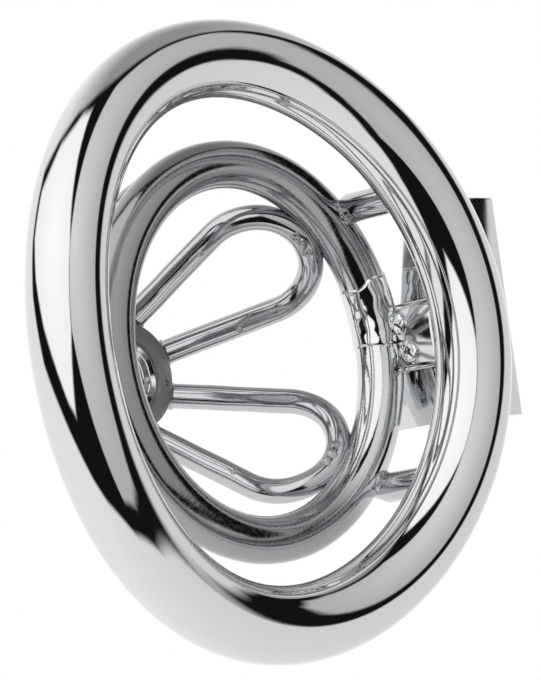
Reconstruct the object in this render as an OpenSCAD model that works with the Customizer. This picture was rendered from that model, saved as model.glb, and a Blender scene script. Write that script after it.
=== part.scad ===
// Lockable ring cage: a bent base ring with a lock tongue, and a smaller cage
// ring with a dome of wire loops, a threaded hub and a key lock that lifts off.
// Units are millimetres, +Z is up and +X points at the lock.

/* [Base ring] */
// Centre-line radius of the base ring
base_R = 29; // [24:0.5:34]
// Rod radius of the base ring
base_r = 4.06; // [3:0.01:5]
// How far the ring dips at the lock side and rises at the sides
base_bend = 1.69; // [0:0.01:3]

/* [Cage ring] */
// Centre-line radius of the cage ring
cage_R = 19.84; // [16:0.01:24]
// Rod radius of the cage ring
cage_r = 2.52; // [2:0.01:3.5]
// Offset of the cage ring and hub axis towards the lock
cage_x = 8.5; // [6:0.1:10]
// Height of the cage ring over the base ring's centre
cage_z = 11.2; // [9:0.1:16]

/* [Hub] */
// Outer radius of the hub
hub_r = 5.8; // [4:0.05:8]
// Bore radius of the hub
hub_bore_r = 3.95; // [2:0.05:5]
// Height of the hub's inner face over the base ring's centre
hub_z = 28.9; // [22:0.1:34]
// Thickness of the hub
hub_t = 4.0; // [2:0.1:6]

/* [Wire loops] */
// Wire radius of the loops
wire_r = 1.37; // [1:0.01:2]
// Radius of a loop's round end
loop_R = 6.05; // [4:0.05:8]
// Half the distance between a loop's two wires at the hub
loop_w = 2.6; // [1.6:0.05:4]
// Slope of the two front loops
front_slope = 57.2; // [40:0.1:65]
// Distance from the hub axis to the front loops' round end
front_D = 14.1; // [11:0.1:18]
// Slope of the two rear loops
rear_slope = 49; // [40:0.1:65]
// Distance from the hub axis to the rear loops' round end
rear_D = 15.9; // [11:0.1:18]

/* [Guide pins] */
// Radius of the two guide pins
pin_r = 1.6; // [1:0.05:2.5]
// Running clearance round each guide pin in its socket
pin_gap = 0.05; // [0.02:0.01:0.1]

/* [Lock] */
// Width of the lock body across the rings
lock_w = 10.6; // [8:0.1:12]
// Height of the lock body
lock_h = 10.3; // [8:0.1:12]
// Travel of the lock bolt
bolt_travel = 4.7; // [4:0.1:5]

/* [Hidden] */

// The rod is a sweep, so the bent ring needs only these two counts.
base_n = 72;
base_m = 16;
loop_z = 31.2;
pin_x = 24.4;
pin_y_upper = -14.6;
pin_y_lower = 15.6;
pin_tip_z = -0.2;
lock_x0 = 31.2;
lock_z0 = 2.7;
lock_y0 = -14.6;
lock_seam_y = -4.0;
lock_y1 = 9.3;
barrel_x = 36.3;
barrel_z = 6.9;
tongue_t = 5.2;
bolt_r = 1.4;
tongue_w = 3.2;
tongue_top = 10.0;
plug_end_y = -10.2;
bolt_tip_y = -2.0;
sleeve_t = 0.18;
arm_x0 = 28.4;
arm_y0 = -3.9;
arm_y1 = 3.4;
arm_z0 = 2.9;
// The origin is under the middle of the whole part, on the surface it lies on.
off_x = (lock_x0 + lock_w - base_R - base_r) / 2;
off_z = base_bend + base_r;

base_ring();
lock_tongue();
cage_ring();
ring_sleeve();
cage_arm();
hub();
hub_insert();
loop_front_upper();
loop_front_lower();
loop_rear_upper();
loop_rear_lower();
guide_pin_upper();
guide_pin_lower();
lock_housing();
lock_head();
lock_barrel();
lock_face();
driver_pins();
lock_plug();
key_pins();
lock_bolt();

// Moves ring coordinates, centred in the base ring, to the part's origin.
module place() translate([-off_x, 0, off_z]) children();

// A cylinder along +Y that starts at y.
module ycyl(y, len, r, fn = 64) translate([barrel_x, y, barrel_z])
    rotate([-90, 0, 0]) cylinder(h = len, r = r, $fn = fn);

// Point k of ring i on the bent rod; each ring stands across the bent path.
function rod_point(i, k) =
    let (a = 360 * i / base_n, b = 360 * k / base_m,
         slope = atan(2 * base_bend * sin(2 * a) / base_R),
         out = base_R + base_r * cos(b))
    [out * cos(a) + base_r * sin(b) * sin(slope) * sin(a),
     out * sin(a) - base_r * sin(b) * sin(slope) * cos(a),
     -base_bend * cos(2 * a) + base_r * sin(b) * cos(slope)];

module bent_rod() {
    pts = [for (i = [0 : base_n - 1]) for (k = [0 : base_m - 1]) rod_point(i, k)];
    quads = [for (i = [0 : base_n - 1]) for (k = [0 : base_m - 1])
        let (i2 = (i + 1) % base_n, k2 = (k + 1) % base_m)
        [i * base_m + k, i * base_m + k2, i2 * base_m + k2, i2 * base_m + k]];
    tris = [for (q = quads) for (t = [[q[0], q[1], q[2]], [q[0], q[2], q[3]]]) t];
    polyhedron(points = pts, faces = tris, convexity = 6);
}

// The bent ring, with two blind sockets for the guide pins.
module base_ring() {
    color([0.80, 0.81, 0.83]) place() difference() {
        bent_rod();
        for (y = [pin_y_upper, pin_y_lower])
            translate([pin_x, y, pin_tip_z - 0.5]) cylinder(h = 8, r = pin_r + pin_gap, $fn = 48);
    }
}

// The flat tongue that stands on the base ring and takes the bolt.
module lock_tongue() {
    t = tongue_t / 2;
    color([0.78, 0.79, 0.81]) place() difference() {
        union() {
            translate([barrel_x, 0, 0]) rotate([90, 0, 0]) linear_extrude(tongue_w, center = true)
                polygon([[-t, 1], [t, 1.8], [t, tongue_top - 1], [t - 0.6, tongue_top],
                         [0.6 - t, tongue_top], [-t, tongue_top - 1]]);
            translate([barrel_x, 0, 0]) rotate([90, 0, 0]) linear_extrude(6, center = true)
                polygon([[31.4 - barrel_x, -0.5], [t - 2.3, -0.5], [t, 1.8], [t, 2.4],
                         [31.4 - barrel_x, 2.4]]);
        }
        ycyl(-4, 8, bolt_r + 0.2, 48);
        translate([0, 0, -base_bend]) rotate_extrude($fn = 128)
            translate([base_R, 0]) circle(r = base_r, $fn = 64);
    }
}

module cage_torus(r) translate([cage_x, 0, cage_z]) rotate_extrude($fn = 128)
    translate([cage_R, 0]) circle(r = r, $fn = 64);

module cage_ring() color([0.62, 0.63, 0.65]) place() cage_torus(cage_r);

// A stretch of the cage ring's path, swept by the 2-D shape given.
module sleeve_sweep() translate([cage_x, 0, cage_z]) rotate([0, 0, -21])
    rotate_extrude(angle = 19, $fn = 128) translate([cage_R, 0]) children();

// A polished brazed sleeve over the cage ring's closing joint.
module ring_sleeve() {
    color([0.82, 0.83, 0.85]) place() sleeve_sweep() difference() {
        circle(r = cage_r + sleeve_t, $fn = 64);
        circle(r = cage_r, $fn = 64);
    }
}

// The block between the cage ring and the lock body, cut to sit on the ring.
module cage_arm() {
    color([0.80, 0.81, 0.83]) place() difference() {
        translate([arm_x0, arm_y0, arm_z0]) cube([lock_x0 - arm_x0, arm_y1 - arm_y0, cage_z - arm_z0]);
        for (y = [arm_y0, arm_y1]) translate([arm_x0, y, arm_z0]) rotate([0, 0, 45])
            cube([0.9, 0.9, 24], center = true);
        translate([arm_x0, 0, arm_z0]) rotate([0, 45, 0]) cube([0.9, 20, 0.9], center = true);
        cage_torus(cage_r);
        sleeve_sweep() circle(r = cage_r + sleeve_t, $fn = 64);
    }
}

module hub() {
    color([0.58, 0.58, 0.59]) place() translate([cage_x, 0, hub_z]) difference() {
        union() {
            cylinder(h = hub_t - 0.4, r = hub_r, $fn = 128);
            translate([0, 0, hub_t - 0.4]) cylinder(h = 0.4, r1 = hub_r, r2 = hub_r - 0.4, $fn = 128);
        }
        translate([0, 0, -1]) cylinder(h = hub_t + 2, r = hub_bore_r, $fn = 96);
        translate([4.87, 0.9, -0.1]) cylinder(h = 0.35, r = 0.3, $fn = 32);
    }
}

// The threaded liner in the hub, with a lead-in at its inner end.
module hub_insert() {
    color([0.80, 0.81, 0.83]) place() translate([cage_x, 0, hub_z + 0.5]) difference() {
        cylinder(h = hub_t - 0.5, r = hub_bore_r, $fn = 96);
        translate([0, 0, -1]) cylinder(h = hub_t + 2, r = hub_bore_r - 0.6, $fn = 96);
        translate([0, 0, -0.01]) cylinder(h = 0.41, r1 = hub_bore_r - 0.2, r2 = hub_bore_r - 0.6, $fn = 96);
    }
}

// Places a loop's plane: from the hub's side, down and out at a slope.
module loop_frame(az, slope) translate([cage_x, 0, loop_z]) rotate([0, 0, az])
    translate([hub_r, 0, 0]) rotate([0, slope, 0]) children();

// One wire loop: two straight wires that run from the hub to a round end.
// The wires are cut to the hub's side; the round end sinks into the cage ring.
module wire_loop(az, slope, D) {
    reach = (D - hub_r) / cos(slope);
    turn = asin(loop_R / norm([reach, loop_w])) - atan2(loop_w, reach);
    run = sqrt(reach * reach + loop_w * loop_w - loop_R * loop_R) - 0.002;
    for (s = [1, -1]) difference() {
        loop_frame(az, slope) translate([0, s * loop_w, 0]) rotate([0, 0, s * turn])
            translate([-1.6, 0, 0]) rotate([0, 90, 0]) {
                cylinder(h = run + 1.6, r = wire_r, $fn = 48);
                cylinder(h = 2.9, r = wire_r + 0.14, $fn = 48);
            }
        translate([cage_x, 0, hub_z - 6]) cylinder(h = 14, r = hub_r, $fn = 128);
    }
    loop_frame(az, slope) translate([reach, 0, 0]) rotate([0, 0, -90 - turn])
        rotate_extrude(angle = 180 + 2 * turn, $fn = 96) translate([loop_R, 0])
            circle(r = wire_r, $fn = 48);
}

module loop_front_upper() color([0.80, 0.81, 0.83]) place() wire_loop(-45.4, front_slope, front_D);
module loop_front_lower() color([0.80, 0.81, 0.83]) place() wire_loop(42.5, front_slope, front_D);
module loop_rear_upper() color([0.80, 0.81, 0.83]) place() wire_loop(-124, rear_slope, rear_D);
module loop_rear_lower() color([0.80, 0.81, 0.83]) place() wire_loop(132, rear_slope, rear_D);

// A pin welded to the cage ring that drops into a socket of the base ring.
module guide_pin(y) {
    difference() {
        translate([pin_x, y, 0]) {
            translate([0, 0, pin_tip_z]) cylinder(h = 0.5, r1 = pin_r - 0.5, r2 = pin_r, $fn = 48);
            translate([0, 0, pin_tip_z + 0.5]) cylinder(h = 8.5, r = pin_r, $fn = 48);
            translate([0, 0, pin_tip_z + 9]) cylinder(h = 2, r1 = pin_r, r2 = 0.9, $fn = 48);
        }
        cage_torus(cage_r);
    }
}

module guide_pin_upper() color([0.78, 0.79, 0.81]) place() guide_pin(pin_y_upper);
module guide_pin_lower() color([0.78, 0.79, 0.81]) place() guide_pin(pin_y_lower);

// A bar along Y with four rounded edges. A slope that grows towards the keyway
// end cuts its inner top edge.
module lock_bar(y0, y1) {
    e = 0.9;
    difference() {
        translate([lock_x0, y1, lock_z0]) rotate([90, 0, 0]) linear_extrude(y1 - y0) {
            translate([e, 0]) square([lock_w - 2 * e, lock_h]);
            translate([0, e]) square([lock_w, lock_h - 2 * e]);
            for (x = [e, lock_w - e]) for (z = [e, lock_h - e]) translate([x, z]) circle(r = e, $fn = 48);
        }
        translate([lock_x0, lock_y1, lock_z0 + lock_h]) rotate([0, 0, 14]) rotate([0, -45, 0])
            translate([-10, -40, 0]) cube([20, 60, 8]);
    }
}

// The lower part of the lock body, with the slot for the tongue.
module lock_housing() {
    color([0.80, 0.81, 0.83]) place() difference() {
        lock_bar(lock_seam_y, lock_y1);
        translate([barrel_x - tongue_t / 2 - 0.2, -tongue_w / 2 - 0.3, lock_z0 - 1])
            cube([tongue_t + 0.4, tongue_w + 0.6, tongue_top + 0.3 - lock_z0 + 1]);
        ycyl(lock_seam_y - 1, bolt_tip_y + bolt_travel + 0.5 - lock_seam_y + 1, bolt_r + 0.05, 48);
    }
}

// The upper part of the lock body, bored for the barrel.
module lock_head() {
    color([0.80, 0.81, 0.83]) place() difference() {
        lock_bar(lock_y0, lock_seam_y);
        ycyl(lock_y0 - 1, lock_seam_y - lock_y0 + 2, 3.1);
    }
}

// The fixed barrel, with radial holes for the driver pins.
module lock_barrel() {
    color([0.72, 0.62, 0.36]) place() difference() {
        ycyl(lock_y0 + 0.5, lock_seam_y - lock_y0 - 0.5, 3.1);
        ycyl(lock_y0 - 1, 14, 2.3);
        for (y = [-13, -11.6]) translate([barrel_x, y, barrel_z + 1.5])
            cylinder(h = 1.3, r = 0.35, $fn = 24);
    }
}

// The thin ring round the plug's face.
module lock_face() {
    color([0.80, 0.81, 0.83]) place() difference() {
        ycyl(lock_y0, 0.5, 3.1);
        ycyl(lock_y0 - 1, 2, 1.9);
    }
}

// Upper tumbler pins, held in the barrel just outside the plug.
module driver_pins() color([0.72, 0.62, 0.36]) place() for (y = [-13, -11.6])
    translate([barrel_x, y, barrel_z + 2.3]) cylinder(h = 0.48, r = 0.33, $fn = 24);

// The turning plug, with its keyway and a driving fork behind.
module lock_plug() {
    color([0.72, 0.62, 0.36]) place() difference() {
        union() {
            ycyl(lock_y0 + 0.55, plug_end_y - lock_y0 - 0.55, 2.25);
            ycyl(lock_y0 + 0.05, 0.6, 1.85);
        }
        translate([barrel_x - 0.4, lock_y0 - 0.1, barrel_z - 1.4]) cube([0.8, 3.6, 2.4]);
        for (y = [-13, -11.6]) translate([barrel_x, y, barrel_z]) cylinder(h = 3, r = 0.35, $fn = 24);
    }
}

// Lower tumbler pins, which turn with the plug at the shear line.
module key_pins() color([0.72, 0.62, 0.36]) place() for (y = [-13, -11.6])
    translate([barrel_x, y, barrel_z + 1.05]) cylinder(h = 1.1, r = 0.33, $fn = 24);

// The bolt and its round tail, drawn back clear of the tongue.
module lock_bolt() {
    color([0.70, 0.71, 0.73]) place() {
        ycyl(plug_end_y + 0.1, 1.2, 2.2);
        ycyl(plug_end_y + 1.3, bolt_tip_y - 0.5 - plug_end_y - 1.3, bolt_r, 48);
        translate([barrel_x, bolt_tip_y - 0.5, barrel_z]) rotate([-90, 0, 0])
            cylinder(h = 0.5, r1 = bolt_r, r2 = bolt_r - 0.5, $fn = 48);
    }
}
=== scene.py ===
"""Lockable ring cage in polished stainless steel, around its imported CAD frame."""
import math

import bmesh
import bpy
from mathutils import Matrix, Vector, noise


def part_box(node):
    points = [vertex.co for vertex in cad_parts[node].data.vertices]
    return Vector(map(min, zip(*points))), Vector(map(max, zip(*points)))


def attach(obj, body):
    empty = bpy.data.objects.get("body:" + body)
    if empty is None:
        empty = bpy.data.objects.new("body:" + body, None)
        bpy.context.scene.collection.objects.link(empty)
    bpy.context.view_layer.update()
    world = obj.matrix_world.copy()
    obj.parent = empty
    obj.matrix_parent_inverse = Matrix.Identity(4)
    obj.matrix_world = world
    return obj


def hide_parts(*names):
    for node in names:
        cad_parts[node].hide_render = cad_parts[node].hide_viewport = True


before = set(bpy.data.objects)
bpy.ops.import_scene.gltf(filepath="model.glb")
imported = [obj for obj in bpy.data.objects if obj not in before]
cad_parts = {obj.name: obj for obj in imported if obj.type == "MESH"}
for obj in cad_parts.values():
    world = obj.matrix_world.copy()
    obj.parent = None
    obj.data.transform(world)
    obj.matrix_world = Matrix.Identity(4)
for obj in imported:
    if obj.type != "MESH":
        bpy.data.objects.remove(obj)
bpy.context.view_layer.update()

# ---------------------------------------------------------------- Camera
# A long lens that looks up through the base ring towards the cage, with
# the lock at the right.
right = Vector((0.69342, 0.13315, -0.70812))
up = Vector((0.03283, -0.98759, -0.15356))
toward = right.cross(up)
lens = bpy.data.cameras.new("camera")
lens.lens = 211.76
lens.sensor_width = 36
lens.clip_start = 0.01
camera = bpy.data.objects.new("camera", lens)
camera.matrix_world = Matrix.Translation((-0.294834, 0.033857, -0.272507)) @ (
    Matrix((right, up, toward)).transposed().to_4x4())
bpy.context.scene.collection.objects.link(camera)
bpy.context.scene.camera = camera
bpy.context.scene.view_settings.view_transform = "Standard"

# ---------------------------------------------------------------- Studio
# A white tent with two large soft panels in front of a black cloth. The
# panels lean together and touch at one point, so black shows above and
# below it. Places are given on a mirror ball of radius 1 that stands where
# the object does: across to the right and up, seen from the camera's side.
# They were set from what the base ring mirrors in the picture.
world = bpy.data.worlds.new("studio")
world.use_nodes = True
bpy.context.scene.world = world
sky = world.node_tree
sky.nodes.clear()


def add(tree, kind, inputs, **settings):
    """Adds a node; inputs gives a value or another node's socket by name."""
    made = tree.nodes.new("ShaderNode" + kind)
    for key, value in settings.items():
        setattr(made, key, value)
    for key, value in inputs.items():
        if isinstance(value, bpy.types.NodeSocket):
            tree.links.new(value, made.inputs[key])
        else:
            made.inputs[key].default_value = value
    return made


def panel(outline):
    """How far inside a counter-clockwise outline the mirrored direction lies."""
    inside = None
    for a, b in zip(outline, outline[1:] + outline[:1]):
        a, b = Vector(a), Vector(b)
        inward = Vector((a.y - b.y, b.x - a.x)).normalized()
        along = add(sky, "VectorMath", {0: tilt, 1: right * inward.x + up * inward.y},
                    operation="DOT_PRODUCT").outputs["Value"]
        edge = add(sky, "Math", {0: along, 1: inward.dot(a)}, operation="SUBTRACT").outputs[0]
        inside = edge if inside is None else add(
            sky, "Math", {0: inside, 1: edge}, operation="MINIMUM").outputs[0]
    return inside


def apart(across, above):
    """How far the mirrored direction lies from a point of the ball."""
    point = right * across + up * above + toward * math.sqrt(1 - across ** 2 - above ** 2)
    return add(sky, "VectorMath", {0: tilt, 1: point}, operation="DISTANCE").outputs["Value"]


# The tilt of the ball's surface where it mirrors the ray's direction.
ray = add(sky, "TexCoord", {}).outputs["Generated"]
between = add(sky, "VectorMath", {0: ray, 1: toward}, operation="ADD")
tilt = add(sky, "VectorMath", {0: between.outputs[0]}, operation="NORMALIZE").outputs[0]
depth = add(sky, "VectorMath", {0: tilt, 1: toward}, operation="DOT_PRODUCT").outputs["Value"]
sideways = add(sky, "VectorMath", {0: tilt, 1: right}, operation="DOT_PRODUCT").outputs["Value"]

# The tent is a little brighter at the left, dim overhead and bright behind.
walls = add(sky, "MapRange", {0: sideways, 1: -0.3, 2: 0.8, 3: 1.02, 4: 0.84})
ceiling = add(sky, "MapRange", {0: apart(0.15, 0.78), 1: 0.2, 2: 0.75, 3: 0.36,
                                4: walls.outputs[0]})
level = add(sky, "MapRange", {0: depth, 1: 0.0, 2: 0.34, 3: 1.17, 4: ceiling.outputs[0]})

# The cloth is almost black; each panel is brightest at one spot and fades.
cloth = [(-0.80, 0.26), (-0.785, 0.10), (-0.65, -0.10), (-0.33, -0.26), (-0.17, -0.345),
         (-0.03, -0.38), (0.24, -0.37), (0.49, -0.26), (0.74, -0.02), (0.80, 0.13),
         (0.80, 0.37), (0.74, 0.57), (0.62, 0.69), (0.35, 0.74), (-0.07, 0.745),
         (-0.33, 0.71), (-0.55, 0.61), (-0.73, 0.48)]
left_panel = [(-0.75, 0.28), (-0.70, 0.17), (-0.57, 0.05), (-0.25, -0.13), (-0.15, -0.15),
              (0.06, 0.127), (0.09, 0.35), (0.03, 0.50), (-0.04, 0.69), (-0.20, 0.70),
              (-0.47, 0.61), (-0.70, 0.43)]
right_panel = [(0.075, 0.127), (0.30, -0.25), (0.46, -0.18), (0.60, -0.06), (0.67, 0.06),
               (0.69, 0.25), (0.67, 0.45), (0.60, 0.60), (0.48, 0.68), (0.35, 0.70),
               (0.19, 0.69), (0.10, 0.35)]
for outline, soft, spot, bright, dim in (
        (cloth, 0.02, (0, 0), 0.008, 0.008), (left_panel, 0.02, (-0.3, 0.35), 1.32, 1.18),
        (right_panel, 0.015, (0.18, 0.36), 0.92, 0.58)):
    mask = add(sky, "MapRange", {0: panel(outline), 1: -soft, 2: soft},
               interpolation_type="SMOOTHSTEP")
    glow = add(sky, "MapRange", {0: apart(*spot), 1: 0.0, 2: 0.55, 3: bright, 4: dim})
    level = add(sky, "Mix", {0: mask.outputs[0], 2: level.outputs[0], 3: glow.outputs[0]})
lit = add(sky, "Background", {"Color": level.outputs[0]})
plain = add(sky, "Background", {"Color": (1, 1, 1, 1)})
seen = add(sky, "LightPath", {}).outputs["Is Camera Ray"]
mixed = add(sky, "MixShader", {0: seen, 1: lit.outputs[0], 2: plain.outputs[0]})
add(sky, "OutputWorld", {"Surface": mixed.outputs[0]})


# ----------------------------------------------------------------- Floor
# A plain pale studio floor, far enough below for the view from beneath.
def linear(colour):
    """An sRGB hex colour as linear red, green, blue and alpha."""
    parts = [int(colour[i:i + 2], 16) / 255 for i in (0, 2, 4)]
    return [c / 12.92 if c < 0.04045 else ((c + 0.055) / 1.055) ** 2.4 for c in parts] + [1]


floor_mesh = bmesh.new()
bmesh.ops.create_grid(floor_mesh, size=6)
bmesh.ops.translate(floor_mesh, verts=floor_mesh.verts, vec=(0, 0, -0.6))
floor_data = bpy.data.meshes.new("floor")
floor_mesh.to_mesh(floor_data)
floor = bpy.data.objects.new("floor", floor_data)
bpy.context.scene.collection.objects.link(floor)
paint = bpy.data.materials.new("matt_floor_paint")
paint.use_nodes = True
paint.node_tree.nodes["Principled BSDF"].inputs["Base Color"].default_value = linear("E9E9E8")
paint.node_tree.nodes["Principled BSDF"].inputs["Roughness"].default_value = 0.9
floor_data.materials.append(paint)
for way in ("diffuse", "glossy", "shadow"):
    setattr(floor, "visible_" + way, False)

# ------------------------------------------------------------- Base ring
# 8 mm stainless rod, bent into a ring and then into a slight saddle,
# butt-welded, ground and mirror-polished, with two drilled pin sockets.
lo, hi = (Vector(corner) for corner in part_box("base_ring"))
middle = (lo + hi) / 2
base_radius, rod_radius, saddle = 29.0, 4.06, 1.69
socket_radius, socket_floor, drill_length = 1.65, -0.7, 8
sockets = ((24.4, -14.6), (24.4, 15.6))


def put(name, shape, body, slot, material, *nodes, smooth=40):
    """Turns a bmesh in millimetres round the base ring's middle into a piece."""
    for v in shape.verts:
        v.co = v.co * 0.001 + middle
    data = bpy.data.meshes.new(name)
    shape.to_mesh(data)
    shape.free()
    data.shade_smooth()
    data.set_sharp_from_angle(angle=math.radians(smooth))
    data.materials.append(material)
    made = bpy.data.objects.new(name, data)
    bpy.context.scene.collection.objects.link(made)
    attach(made, body)
    if nodes:
        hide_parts(*nodes)
    return made


def rod_section(shape, around, radius, segments):
    """Adds a rod's round outline, upright at the +X side of a ring round the origin."""
    upright = Matrix.Rotation(math.pi / 2, 4, "X")
    bmesh.ops.create_circle(shape, radius=radius, segments=segments,
                            matrix=Matrix.Translation((around, 0, 0)) @ upright)


def metal(name, colour, roughness):
    """A material of bare metal: its node tree and its shader's inputs."""
    made = bpy.data.materials.new(name)
    made.use_nodes = True
    inputs = made.node_tree.nodes["Principled BSDF"].inputs
    inputs["Base Color"].default_value = linear(colour)
    inputs["Metallic"].default_value = 1.0
    inputs["Roughness"].default_value = roughness
    return made, made.node_tree, inputs


def grain(tree, size, stretch=(1, 1, 1), detail=2):
    """Noise whose lumps are about size millimetres, longer where stretch is small."""
    where = add(tree, "TexCoord", {}).outputs["Object"]
    scaled = add(tree, "Mapping", {"Vector": where, "Scale": stretch})
    made = add(tree, "TexNoise", {"Vector": scaled.outputs[0], "Scale": 1000 / size,
                                  "Detail": detail})
    return made.outputs[0]


def relief(tree, inputs, height, depth):
    """Raises the surface by a pattern, depth millimetres from low to high."""
    bump = add(tree, "Bump", {"Height": height, "Distance": depth / 1000, "Strength": 1.0})
    tree.links.new(bump.outputs[0], inputs["Normal"])


def vary(tree, inputs, pattern, low, high):
    """Lets a pattern vary the roughness between two values."""
    spread = add(tree, "MapRange", {0: pattern, 1: 0.3, 2: 0.7, 3: low, 4: high})
    tree.links.new(spread.outputs[0], inputs["Roughness"])


# Mirror-polished stainless steel: clean reflections, with the slow ripple
# of a buffing wheel and a very faint haze.
mirror, tree, inputs = metal("mirror_polished_stainless", "DCDDDE", 0.03)
vary(tree, inputs, grain(tree, 1.2), 0.015, 0.05)
relief(tree, inputs, grain(tree, 3.0, detail=3), 0.004)

ring = bmesh.new()
rod_section(ring, base_radius, rod_radius, 64)
bmesh.ops.spin(ring, geom=ring.verts[:] + ring.edges[:], cent=(0, 0, 0), axis=(0, 0, 1),
               angle=2 * math.pi, steps=240, use_merge=True)
for v in ring.verts:
    v.co.z -= saddle * math.cos(2 * math.atan2(v.co.y, v.co.x))
bmesh.ops.recalc_face_normals(ring, faces=ring.faces)
base_ring = put("base_ring_rod", ring, "base", "mirror_steel", mirror, "base_ring")

drill = bmesh.new()
for x, y in sockets:
    bmesh.ops.create_cone(drill, cap_ends=True, segments=48, radius1=socket_radius,
                          radius2=socket_radius, depth=drill_length,
                          matrix=Matrix.Translation((x, y, socket_floor + drill_length / 2)))
for v in drill.verts:
    v.co = v.co * 0.001 + middle
drill_data = bpy.data.meshes.new("drill")
drill.to_mesh(drill_data)
drill_piece = bpy.data.objects.new("drill", drill_data)
bpy.context.scene.collection.objects.link(drill_piece)
cut = base_ring.modifiers.new("sockets", "BOOLEAN")
cut.operation = "DIFFERENCE"
cut.solver = "EXACT"
cut.object = drill_piece
drilled = bpy.data.meshes.new_from_object(
    base_ring.evaluated_get(bpy.context.evaluated_depsgraph_get()))
base_ring.modifiers.clear()
base_ring.data = drilled
drilled.set_sharp_from_angle(angle=math.radians(40))
bpy.data.objects.remove(drill_piece)

# ------------------------------------------------------------- Cage ring
# 5 mm stainless rod, bent into a flat ring and tumbled: darker and softer
# than the base ring, with a fine grain. The stretch beside the lock is
# polished and bright. All sizes are in millimetres.
cage_radius, cage_rod = 19.84, 2.52
cage_middle = Vector((8.5, 0, 11.2))
buffed_from, buffed_to, buffed_turn = 9.0, 17.0, math.radians(18)
sway_per_mm, sway = 0.12, 0.04

# Tumbled stainless steel: dull and darker, so reflections are soft bands.
# Its half-millimetre grain is drawn coarser than real, so that it shows.
satin, tree, inputs = metal("tumbled_stainless", "A4A5A7", 0.12)
buffed = cage_middle + Vector((math.cos(buffed_turn), math.sin(buffed_turn), 0)) * cage_radius
away = add(tree, "VectorMath", {0: add(tree, "TexCoord", {}).outputs["Object"],
                                1: buffed * 0.001 + middle}, operation="DISTANCE")
worn = add(tree, "MapRange", {0: away.outputs["Value"], 1: buffed_from / 1000,
                              2: buffed_to / 1000}, interpolation_type="SMOOTHSTEP").outputs[0]
shade = add(tree, "Mix", {0: worn, 6: linear("DADBDC"), 7: linear("A0A1A3")}, data_type="RGBA")
tree.links.new(shade.outputs[2], inputs["Base Color"])
dull = add(tree, "MapRange", {0: grain(tree, 0.5, detail=4), 1: 0.3, 2: 0.7, 3: 0.07, 4: 0.17})
rough = add(tree, "MapRange", {0: worn, 3: 0.09, 4: dull.outputs[0]})
tree.links.new(rough.outputs[0], inputs["Roughness"])
relief(tree, inputs, grain(tree, 0.35, detail=4), 0.006)

ring = bmesh.new()
rod_section(ring, cage_radius, cage_rod, 48)
bmesh.ops.spin(ring, geom=ring.verts[:] + ring.edges[:], cent=(0, 0, 0), axis=(0, 0, 1),
               angle=2 * math.pi, steps=180, use_merge=True)
for v in ring.verts:
    v.co += noise.noise_vector(v.co * sway_per_mm) * sway + cage_middle
bmesh.ops.recalc_face_normals(ring, faces=ring.faces)
put("cage_ring_rod", ring, "cage", "tumbled_steel", satin, "cage_ring")

# ----------------------------------------------------------- Ring sleeve
# The weld that closes the cage ring, ground and polished by hand beside
# the arm, so it is brighter and a little lumpy, with uneven ends.
sleeve_start, sleeve_end = -22, 2.5
sleeve_root, sleeve_proud, lump_height = cage_rod - 0.1, 0.27, 0.09
end_inset, end_raggedness, end_fade = 1.0, 1.6, 1.2

# Hand-polished weld metal: the brightest steel, whose slow dents bend and
# break what it mirrors.
polished, tree, inputs = metal("hand_polished_weld", "E2E3E4", 0.05)
vary(tree, inputs, grain(tree, 1.5), 0.03, 0.12)
relief(tree, inputs, grain(tree, 2.2, detail=1.5), 0.09)

band = bmesh.new()
rod_section(band, cage_radius, sleeve_root, 64)
bmesh.ops.rotate(band, verts=band.verts, cent=(0, 0, 0),
                 matrix=Matrix.Rotation(math.radians(sleeve_start), 3, "Z"))
bmesh.ops.spin(band, geom=band.verts[:] + band.edges[:], cent=(0, 0, 0), axis=(0, 0, 1),
               angle=math.radians(sleeve_end - sleeve_start), steps=60)
for v in band.verts:
    turn = math.degrees(math.atan2(v.co.y, v.co.x))
    core = Vector((v.co.x, v.co.y, 0)).normalized() * cage_radius
    out = (v.co - core).normalized()
    ragged = end_raggedness * noise.noise(v.co * 0.7)
    edge = min(turn - sleeve_start, sleeve_end - turn) - end_inset + ragged
    rise = max(0.0, min(1.0, edge / end_fade))
    lump = lump_height * noise.noise(v.co * 0.7 + Vector((3, 1, 5)))
    v.co = core + out * (sleeve_root + (sleeve_proud + lump) * rise) + cage_middle
bmesh.ops.recalc_face_normals(band, faces=band.faces)
put("ring_closing_weld", band, "cage", "mirror_steel", polished, "ring_sleeve")


# ------------------------------------------------------------------- Hub
# A turned ring of stainless bar left matt from the lathe, that carries the
# loops' ends.
def softened(node, width, segments=2):
    """A merged copy of a CAD node, in millimetres, with its sharp edges rounded."""
    shape = bmesh.new()
    shape.from_mesh(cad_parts[node].data)
    bmesh.ops.transform(shape, verts=shape.verts, matrix=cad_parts[node].matrix_world)
    for v in shape.verts:
        v.co = (v.co - middle) * 1000
    bmesh.ops.remove_doubles(shape, verts=shape.verts, dist=0.0005)
    bmesh.ops.dissolve_limit(shape, angle_limit=math.radians(1), verts=shape.verts[:],
                             edges=shape.edges[:])
    sharp = [e for e in shape.edges if len(e.link_faces) == 2
             and e.calc_face_angle(0) > math.radians(32)]
    bmesh.ops.bevel(shape, geom=sharp, offset=width, offset_type="OFFSET", affect="EDGES",
                    segments=segments, profile=0.5, material=-1, clamp_overlap=True)
    return shape


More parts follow.
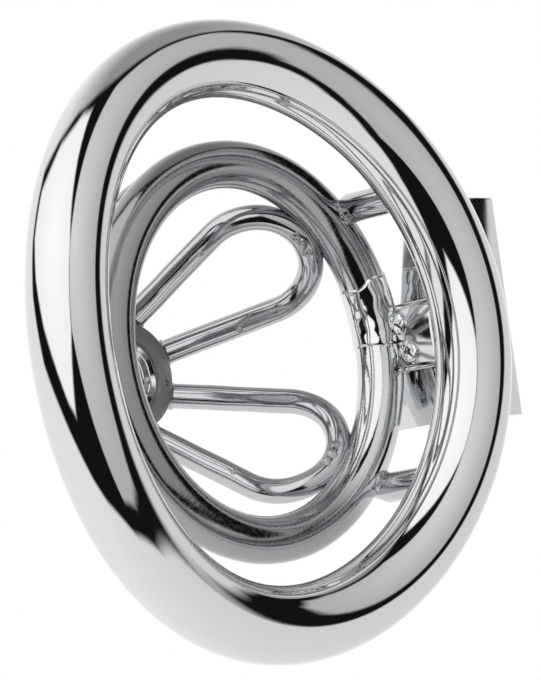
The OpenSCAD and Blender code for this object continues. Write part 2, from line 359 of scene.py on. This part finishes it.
# Turned stainless steel: matt grey, with the circles that the tool left.
# They are 0.18 mm apart, a little coarser than real, so that they show.
ring_spacing = 0.18
turned, tree, inputs = metal("turned_stainless", "8E8E90", 0.42)
centred = add(tree, "Mapping", {"Vector": add(tree, "TexCoord", {}).outputs["Object"],
                                "Location": -(middle + cage_middle * 0.001)})
circles = add(tree, "TexWave", {"Vector": centred.outputs[0], "Scale": 50 / ring_spacing,
                                "Distortion": 1.5, "Detail": 2}, wave_type="RINGS",
              rings_direction="Z")
relief(tree, inputs, circles.outputs["Fac"], 0.006)
vary(tree, inputs, grain(tree, 0.3, detail=3), 0.34, 0.5)
put("hub_ring", softened("hub", 0.12), "cage", "machined_steel", turned, "hub")

# ------------------------------------------------------------ Hub insert
# The tapped liner in the hub: a polished lead-in and a 1 mm pitch thread.
hub_bore, hub_low, hub_high = 3.95, 29.4, 32.9
thread_pitch, thread_crest, thread_root = 1.0, 3.36, 3.78
thread_gap, thread_steps = 0.35, 64

# Freshly tapped stainless steel: bright, with a little tearing on the flanks.
bright, tree, inputs = metal("bright_tapped_stainless", "D8D9DA", 0.1)
vary(tree, inputs, grain(tree, 0.4), 0.07, 0.16)
relief(tree, inputs, grain(tree, 0.8), 0.008)

thread = bmesh.new()
turns = int(hub_high - hub_low) + 1
start = [thread.verts.new((radius, 0, hub_low - thread_pitch + rise * thread_pitch))
         for radius, rise in ((thread_root, 0), (thread_crest, 0.42), (thread_crest, 0.58),
                              (thread_root, 1.0))]
edges = [thread.edges.new(pair) for pair in zip(start, start[1:])]
bmesh.ops.spin(thread, geom=start + edges, cent=(0, 0, 0), axis=(0, 0, 1),
               dvec=(0, 0, thread_pitch / thread_steps), angle=2 * math.pi * (turns + 1),
               steps=thread_steps * (turns + 1))
bmesh.ops.remove_doubles(thread, verts=thread.verts, dist=0.001)
for z, keep in ((hub_low + thread_gap, 1), (hub_high - 0.02, -1)):
    bmesh.ops.bisect_plane(thread, geom=thread.verts[:] + thread.edges[:] + thread.faces[:],
                           plane_co=(0, 0, z), plane_no=(0, 0, keep), clear_inner=True)
rim = [thread.verts.new((radius, 0, z)) for radius, z in (
    (thread_root, hub_high - 0.02), (hub_bore - 0.01, hub_high - 0.02),
    (hub_bore - 0.01, hub_low), (hub_bore - 0.18, hub_low), (thread_root, hub_low + 0.1),
    (thread_crest + 0.1, hub_low + 0.4))]
edges = [thread.edges.new(pair) for pair in zip(rim, rim[1:])]
bmesh.ops.spin(thread, geom=rim + edges, cent=(0, 0, 0), axis=(0, 0, 1),
               angle=2 * math.pi, steps=96, use_merge=True)
for v in thread.verts:
    v.co += Vector((cage_middle.x, 0, 0))
bmesh.ops.recalc_face_normals(thread, faces=thread.faces)
put("hub_thread", thread, "cage", "wire_steel", bright, "hub_insert", smooth=30)

# ----------------------------------------------------------------- Loops
# Four loops of 2.7 mm stainless wire, bent by hand, welded to the hub's
# side and to the cage ring, then polished.
wire_radius, bend_radius, half_gap, hub_radius, loop_height = 1.37, 6.05, 2.6, 5.8, 31.2
wire_steps, wire_sunk, wire_sway_per_mm, wire_sway = 24, 0.35, 0.3, 0.06
collar_proud, collar_length, collar_middle = 0.13, 2.2, 0.2
tip_weld, tip_weld_turns, tip_weld_under = (1.5, 1.5, 1.2), (-8, 3, 14), -0.95
spatter_drop, spatter_under = (1.2, 0.9, 0.8), -1.1

# Polished stainless wire: bright, with faint ripples that blur what it
# mirrors into long streaks.
wire, tree, inputs = metal("polished_stainless_wire", "C2C3C5", 0.09)
vary(tree, inputs, grain(tree, 0.8, detail=3), 0.08, 0.15)
relief(tree, inputs, grain(tree, 1.4, detail=1), 0.012)

# Brushed weld beads: duller drops with a rough, pitted skin.
weld, tree, inputs = metal("brushed_weld_bead", "B9B9BA", 0.2)
vary(tree, inputs, grain(tree, 0.6, detail=3), 0.12, 0.35)
relief(tree, inputs, grain(tree, 0.7, detail=3), 0.07)


def bead(shape, at, size, seed):
    """Adds an uneven drop of weld metal, size millimetres across each way."""
    made = bmesh.ops.create_icosphere(shape, subdivisions=4, radius=1)
    for v in made["verts"]:
        swell = 1 + 0.22 * noise.noise(v.co * 1.6 + Vector((seed, 0, 0)))
        v.co = Vector(at) + Vector([c * s / 2 * swell for c, s in zip(v.co, size)])


def collar(shape, matrix, radius, length):
    """Adds a short sleeve with rounded ends that lies along the matrix's x axis."""
    bmesh.ops.create_cone(shape, cap_ends=True, segments=48, radius1=radius, radius2=radius,
                          depth=length, matrix=matrix @ Matrix.Rotation(math.pi / 2, 4, "Y"))
    ends = [e for e in shape.edges if e.calc_face_angle(0) > 1.0]
    bmesh.ops.bevel(shape, geom=ends, offset=0.1, offset_type="OFFSET", affect="EDGES",
                    segments=3, profile=0.5, material=-1, clamp_overlap=True)


# The turn round the hub, the slope, how far the round end lies from the hub's
# axis, and spatter left on a wire: which side and how far along.
for name, azimuth, slope, distance, spatter in (
        ("loop_front_upper", -45.4, 57.2, 14.1, ((1, 0.70), (-1, 0.87))),
        ("loop_front_lower", 42.5, 57.2, 14.1, ((1, 0.88),)),
        ("loop_rear_upper", -124, 49, 15.9, ()), ("loop_rear_lower", 132, 49, 15.9, ())):
    tip = (distance - hub_radius) / math.cos(math.radians(slope))
    turn = math.asin(bend_radius / math.hypot(tip, half_gap)) - math.atan2(half_gap, tip)
    run = math.sqrt(tip * tip + half_gap * half_gap - bend_radius * bend_radius)
    plane = (Matrix.Translation((cage_middle.x, 0, loop_height))
             @ Matrix.Rotation(math.radians(azimuth), 4, "Z")
             @ Matrix.Translation((hub_radius, 0, 0))
             @ Matrix.Rotation(math.radians(slope), 4, "Y"))
    shape = bmesh.new()
    section = bmesh.ops.create_circle(
        shape, radius=wire_radius, segments=32,
        matrix=Matrix.Translation((tip, 0, 0)) @ Matrix.Rotation(-math.pi / 2 - turn, 4, "Z")
        @ Matrix.Translation((bend_radius, 0, 0)) @ Matrix.Rotation(math.pi / 2, 4, "X"))
    first = list({e for v in section["verts"] for e in v.link_edges})
    spun = bmesh.ops.spin(shape, geom=section["verts"] + first, cent=(tip, 0, 0),
                          axis=(0, 0, 1), angle=math.pi + 2 * turn, steps=64)
    last = [e for e in spun["geom_last"] if isinstance(e, bmesh.types.BMEdge)]
    for ends, side in ((first, -1), (last, 1)):
        back = Vector((-math.cos(turn), -side * math.sin(turn), 0))
        for step in range(wire_steps):
            grown = bmesh.ops.extrude_edge_only(shape, edges=ends)["geom"]
            moved = [g for g in grown if isinstance(g, bmesh.types.BMVert)]
            bmesh.ops.translate(shape, verts=moved, vec=back * (run + wire_sunk) / wire_steps)
            ends = [g for g in grown if isinstance(g, bmesh.types.BMEdge)
                    and all(v in moved for v in g.verts)]
        bmesh.ops.holes_fill(shape, edges=ends)
    bmesh.ops.transform(shape, verts=shape.verts, matrix=plane)
    for v in shape.verts:
        v.co += noise.noise_vector(v.co * wire_sway_per_mm) * wire_sway
    bmesh.ops.recalc_face_normals(shape, faces=shape.faces)
    put(name + "_wire", shape, "cage", "wire_steel", wire, name)

    welds = bmesh.new()
    for side in (-1, 1):
        collar(welds, plane @ Matrix.Translation((0, side * half_gap, 0))
               @ Matrix.Rotation(side * turn, 4, "Z")
               @ Matrix.Translation((collar_middle, 0, 0)),
               wire_radius + collar_proud, collar_length)
    for angle in tip_weld_turns:
        around = math.radians(angle)
        at = plane @ Vector((tip + bend_radius * math.cos(around),
                             bend_radius * math.sin(around), tip_weld_under))
        bead(welds, at, tip_weld, azimuth + angle)
    for side, share in spatter:
        at = plane @ Vector((math.cos(turn) * run * share,
                             side * (half_gap + math.sin(turn) * run * share),
                             spatter_under))
        bead(welds, at, spatter_drop, share)
    bmesh.ops.recalc_face_normals(welds, faces=welds.faces)
    put(name + "_welds", welds, "cage", "wire_steel", weld)

# ------------------------------------------------------------ Guide pins
# Two 3.2 mm pins, pointed where they are welded to the cage ring, that
# drop into the base ring's sockets: polished, with a dull weld at the root.
root_weld, root_height, root_inward = (2.6, 2.6, 1.5), 8.9, 0.9
for name, (x, y), seed in (("guide_pin_upper", sockets[0], 4), ("guide_pin_lower", sockets[1], 7)):
    put(name + "_rod", softened(name, 0.12), "cage", "wire_steel", wire, name)
    root = bmesh.new()
    inward = (Vector((cage_middle.x, 0)) - Vector((x, y))).normalized()
    bead(root, (x + inward.x * root_inward, y + inward.y * root_inward, root_height),
         root_weld, seed)
    put(name + "_weld", root, "cage", "wire_steel", weld)

# ------------------------------------------------------------- Cage arm
# A small block milled from bar and welded between the cage ring and the
# lock, polished, with slightly rounded faces and two drops of weld where it
# meets the ring.
arm_side, arm_bottom, arm_top_y, arm_across = 28.4, 2.9, -3.9, -0.4
side_round, bottom_round = 0.045, 0.05
strip_y, strip_x = 0.73, 0.45

# Milled and polished stainless steel: bright, with faint streaks along y.
block, tree, inputs = metal("polished_milled_stainless", "D9DADB", 0.07)
vary(tree, inputs, grain(tree, 1.0, (1, 0.25, 1)), 0.04, 0.12)
relief(tree, inputs, grain(tree, 1.6, (1, 0.3, 1), 3), 0.012)
arm = softened("cage_arm", 0.25, 3)
for step in range(1, 10):
    bmesh.ops.bisect_plane(arm, geom=arm.verts[:] + arm.edges[:] + arm.faces[:],
                           plane_co=(0, arm_top_y + step * strip_y, 0), plane_no=(0, 1, 0))
for step in range(1, 6):
    bmesh.ops.bisect_plane(arm, geom=arm.verts[:] + arm.edges[:] + arm.faces[:],
                           plane_co=(arm_side + step * strip_x, 0, 0), plane_no=(1, 0, 0))
for v in arm.verts:
    if v.co.x < arm_side + 0.4:
        v.co.x += side_round * (v.co.y - arm_across) ** 2
    if v.co.z < arm_bottom + 0.4:
        v.co.z += bottom_round * (v.co.x - arm_side) ** 2
put("arm_block", arm, "cage", "lock_steel", block, "cage_arm")

fillets = bmesh.new()
for at, size in (((28.6, -1.8, 8.0), (1.3, 2.6, 2.2)), ((28.5, 1.4, 7.0), (1.2, 2.4, 2.6))):
    bead(fillets, at, size, at[1])
put("arm_weld_fillets", fillets, "cage", "lock_steel", polished)

# -------------------------------------------------------------- Lock body
# A bar in two lengths with rounded edges, polished on a belt, that holds the
# lock barrel and the slot for the tongue. Its underside rises a little
# towards the outer edge.
crown_start, crown_curve, crown_strip, bar_bottom = 37.0, 0.03, 0.45, 2.7
for name, node in (("lock_lower_bar", "lock_housing"), ("lock_upper_bar", "lock_head")):
    bar = softened(node, 0.2, 3)
    for step in range(8):
        bmesh.ops.bisect_plane(bar, geom=bar.verts[:] + bar.edges[:] + bar.faces[:],
                               plane_co=(crown_start + step * crown_strip, 0, 0),
                               plane_no=(1, 0, 0))
    for v in bar.verts:
        if v.co.x > crown_start and v.co.z < bar_bottom + 1:
            v.co.z += crown_curve * (v.co.x - crown_start) ** 2
    put(name, bar, "cage", "lock_steel", block, node)

# The ring round the keyway, and the tongue plate welded to the base ring.
put("lock_front_ring", softened("lock_face", 0.06), "cage", "lock_steel", block, "lock_face")
put("tongue_plate", softened("lock_tongue", 0.12), "base", "lock_steel", block, "lock_tongue")

# ------------------------------------------------------------ Lock works
# A drawn brass barrel, plug and tumblers, pushed into the bar, and a bolt
# turned from steel.

# Drawn brass: soft yellow reflections, streaked along y by lines that are
# drawn coarser than real.
brass, tree, inputs = metal("drawn_brass", "CBA766", 0.25)
vary(tree, inputs, grain(tree, 0.3, (1, 0.15, 1), 3), 0.18, 0.34)
relief(tree, inputs, grain(tree, 0.15, (1, 0.1, 1), 2), 0.003)
put("barrel_sleeve", softened("lock_barrel", 0.08), "cage", "brass", brass, "lock_barrel")
put("upper_tumblers", softened("driver_pins", 0.04), "cage", "brass", brass, "driver_pins")
put("key_plug", softened("lock_plug", 0.06), "plug", "brass", brass, "lock_plug")
put("lower_tumblers", softened("key_pins", 0.04), "plug", "brass", brass, "key_pins")
put("bolt_rod", softened("lock_bolt", 0.08), "bolt", "machined_steel", turned, "lock_bolt")
